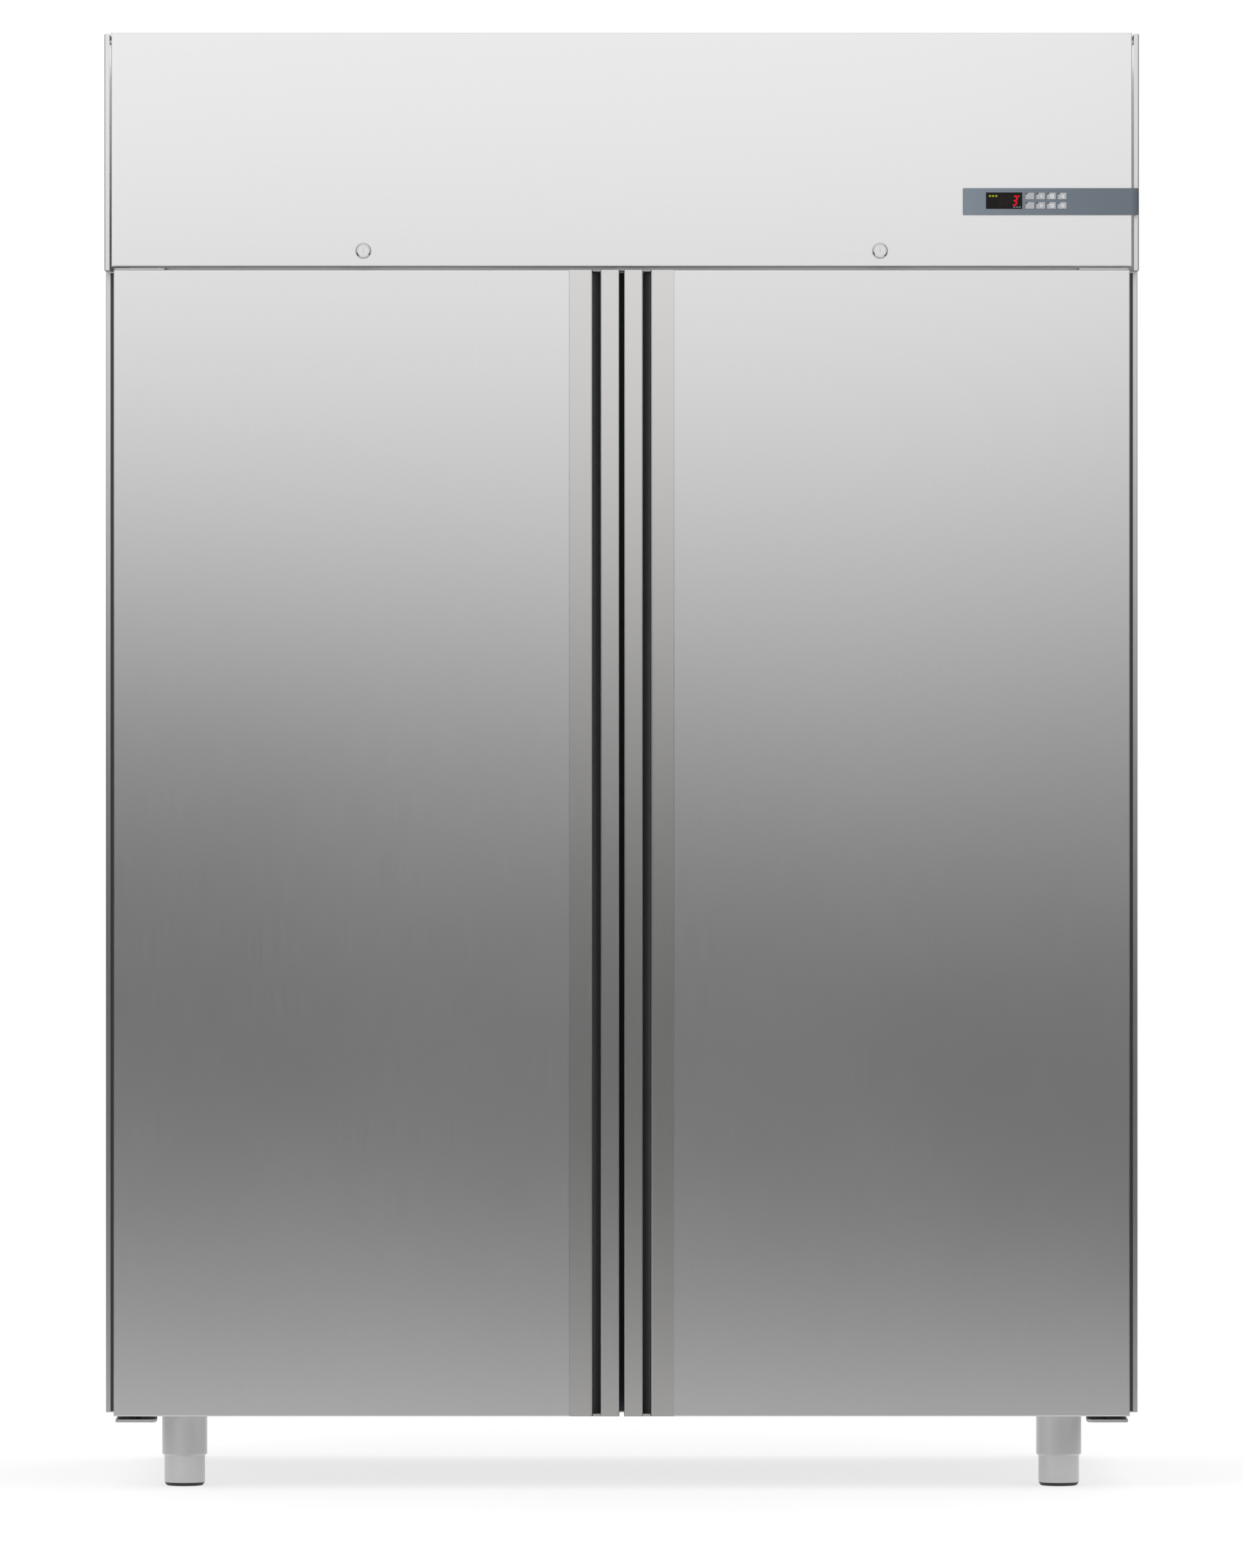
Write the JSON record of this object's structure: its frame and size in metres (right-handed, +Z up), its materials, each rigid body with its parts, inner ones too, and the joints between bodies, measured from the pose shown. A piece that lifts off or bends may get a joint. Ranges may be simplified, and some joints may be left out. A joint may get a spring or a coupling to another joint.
{
  "type": "reach-in refrigerator",
  "caption": "Upright commercial refrigerator with two full-height hinged stainless doors, finger-groove handles, a top-mounted cooling unit behind a lockable service panel, and levelling feet.",
  "frame": {"origin": "middle of the footprint, on the floor", "axes": "+X to the right as seen from the front, +Y to the back, +Z up"},
  "size_m": [1.44, 0.8, 2.026],
  "materials": {
    "outer_stainless": "satin",
    "panel_stainless": "satin",
    "door_stainless": "satin",
    "handle_stainless": "satin",
    "inner_stainless": "satin",
    "insulating_foam": "matte",
    "breaker_plastic": "matte",
    "gasket_rubber": "matte",
    "cap_plastic": "satin",
    "bush_plastic": "satin",
    "hinge_steel": "satin",
    "shelf_steel": "satin",
    "coated_wire": "satin",
    "lamp_diffuser": "satin",
    "fin_aluminium": "satin",
    "galvanised_sheet": "satin",
    "compressor_paint": "satin",
    "motor_paint": "satin",
    "fan_plastic": "satin",
    "copper_pipe": "satin",
    "box_plastic": "satin",
    "gland_plastic": "satin",
    "leg_stainless": "satin",
    "foot_stainless": "satin",
    "lock_chrome": "gloss",
    "bezel_plastic": "satin",
    "display_glass": "gloss",
    "key_plastic": "satin"
  },
  "bodies": {
    "cabinet": {"outer_case": "outer_stainless", "cabinet_foam": "insulating_foam", "inner_liner": "inner_stainless", "breaker_frame": "breaker_plastic", "centre_post": "inner_stainless", "shelf_uprights": "shelf_steel", "shelf_runners": "shelf_steel", "wire_shelves": "coated_wire", "interior_lamp": "lamp_diffuser", "air_duct_panel": "inner_stainless", "evaporator_coil": "fin_aluminium", "evaporator_cover": "inner_stainless", "fan_motors": "motor_paint", "compressor": "compressor_paint", "condenser": "fin_aluminium", "condenser_shroud": "galvanised_sheet", "refrigerant_pipes": "copper_pipe", "unit_base": "galvanised_sheet", "electrical_box": "box_plastic", "cable_gland": "gland_plastic", "hood_side_left": "outer_stainless", "hood_side_right": "outer_stainless", "hood_rear_grille": "outer_stainless", "hinge_brackets": "hinge_steel", "legs": "leg_stainless"},
    "left_door": {"door_skin_left": "door_stainless", "door_foam_left": "insulating_foam", "door_liner_left": "inner_stainless", "door_gasket_left": "gasket_rubber", "door_handle_left": "handle_stainless", "door_end_caps_left": "cap_plastic", "door_bushes_left": "bush_plastic"},
    "right_door": {"door_skin_right": "door_stainless", "door_foam_right": "insulating_foam", "door_liner_right": "inner_stainless", "door_gasket_right": "gasket_rubber", "door_handle_right": "handle_stainless", "door_end_caps_right": "cap_plastic", "door_bushes_right": "bush_plastic"},
    "front_panel": {"service_panel": "panel_stainless", "lock_bodies": "lock_chrome", "control_bezel": "bezel_plastic", "display_window": "display_glass", "controller_case": "box_plastic"},
    "left_lock": {"lock_plug_left": "lock_chrome"},
    "right_lock": {"lock_plug_right": "lock_chrome"},
    "key_1": {"button_1": "key_plastic"},
    "key_2": {"button_2": "key_plastic"},
    "key_3": {"button_3": "key_plastic"},
    "key_4": {"button_4": "key_plastic"},
    "key_5": {"button_5": "key_plastic"},
    "key_6": {"button_6": "key_plastic"},
    "key_7": {"button_7": "key_plastic"},
    "key_8": {"button_8": "key_plastic"},
    "upper_fan": {"condenser_fan": "fan_plastic"},
    "lower_fan": {"evaporator_fan": "fan_plastic"},
    "front_left_foot": {"foot_front_left": "foot_stainless"},
    "front_right_foot": {"foot_front_right": "foot_stainless"},
    "rear_left_foot": {"foot_rear_left": "foot_stainless"},
    "rear_right_foot": {"foot_rear_right": "foot_stainless"}
  },
  "joints": [
    {"name": "left_door_hinge", "type": "hinge", "parent": "cabinet", "child": "left_door", "pos_m": [-0.689, -0.366, 0.103], "axis": [0, 0, -1], "range_deg": [0, 110], "stiffness_Nm_per_rad": 3, "springref_deg": -28.65},
    {"name": "right_door_hinge", "type": "hinge", "parent": "cabinet", "child": "right_door", "pos_m": [0.689, -0.366, 0.103], "axis": [0, 0, 1], "range_deg": [0, 110], "stiffness_Nm_per_rad": 3, "springref_deg": -28.65},
    {"name": "front_panel_hinge", "type": "hinge", "parent": "cabinet", "child": "front_panel", "pos_m": [0, -0.372, 2.014], "axis": [-1, 0, 0], "range_deg": [0, 90]},
    {"name": "left_lock_turn", "type": "hinge", "parent": "front_panel", "child": "left_lock", "pos_m": [-0.359, -0.372, 1.7232], "axis": [0, -1, 0], "range_deg": [0, 90]},
    {"name": "right_lock_turn", "type": "hinge", "parent": "front_panel", "child": "right_lock", "pos_m": [0.359, -0.372, 1.7232], "axis": [0, 1, 0], "range_deg": [0, 90]},
    {"name": "key_1_press", "type": "slide", "parent": "front_panel", "child": "key_1", "axis": [0, 1, 0], "range_m": [0, 0.0006], "stiffness_N_per_m": 1500, "springref_m": -0.0002},
    {"name": "key_2_press", "type": "slide", "parent": "front_panel", "child": "key_2", "axis": [0, 1, 0], "range_m": [0, 0.0006], "stiffness_N_per_m": 1500, "springref_m": -0.0002},
    {"name": "key_3_press", "type": "slide", "parent": "front_panel", "child": "key_3", "axis": [0, 1, 0], "range_m": [0, 0.0006], "stiffness_N_per_m": 1500, "springref_m": -0.0002},
    {"name": "key_4_press", "type": "slide", "parent": "front_panel", "child": "key_4", "axis": [0, 1, 0], "range_m": [0, 0.0006], "stiffness_N_per_m": 1500, "springref_m": -0.0002},
    {"name": "key_5_press", "type": "slide", "parent": "front_panel", "child": "key_5", "axis": [0, 1, 0], "range_m": [0, 0.0006], "stiffness_N_per_m": 1500, "springref_m": -0.0002},
    {"name": "key_6_press", "type": "slide", "parent": "front_panel", "child": "key_6", "axis": [0, 1, 0], "range_m": [0, 0.0006], "stiffness_N_per_m": 1500, "springref_m": -0.0002},
    {"name": "key_7_press", "type": "slide", "parent": "front_panel", "child": "key_7", "axis": [0, 1, 0], "range_m": [0, 0.0006], "stiffness_N_per_m": 1500, "springref_m": -0.0002},
    {"name": "key_8_press", "type": "slide", "parent": "front_panel", "child": "key_8", "axis": [0, 1, 0], "range_m": [0, 0.0006], "stiffness_N_per_m": 1500, "springref_m": -0.0002},
    {"name": "upper_fan_spin", "type": "hinge", "parent": "cabinet", "child": "upper_fan", "pos_m": [0, -0.138, 1.8374], "axis": [0, 1, 0], "continuous": true},
    {"name": "lower_fan_spin", "type": "hinge", "parent": "cabinet", "child": "lower_fan", "pos_m": [0, 0.1625, 1.55], "axis": [0, 0, 1], "continuous": true},
    {"name": "front_left_foot_level", "type": "slide", "parent": "cabinet", "child": "front_left_foot", "axis": [0, 0, 1], "range_m": [-0.03, 0.02]},
    {"name": "front_right_foot_level", "type": "slide", "parent": "cabinet", "child": "front_right_foot", "axis": [0, 0, 1], "range_m": [-0.03, 0.02]},
    {"name": "rear_left_foot_level", "type": "slide", "parent": "cabinet", "child": "rear_left_foot", "axis": [0, 0, 1], "range_m": [-0.03, 0.02]},
    {"name": "rear_right_foot_level", "type": "slide", "parent": "cabinet", "child": "rear_right_foot", "axis": [0, 0, 1], "range_m": [-0.03, 0.02]}
  ]
}
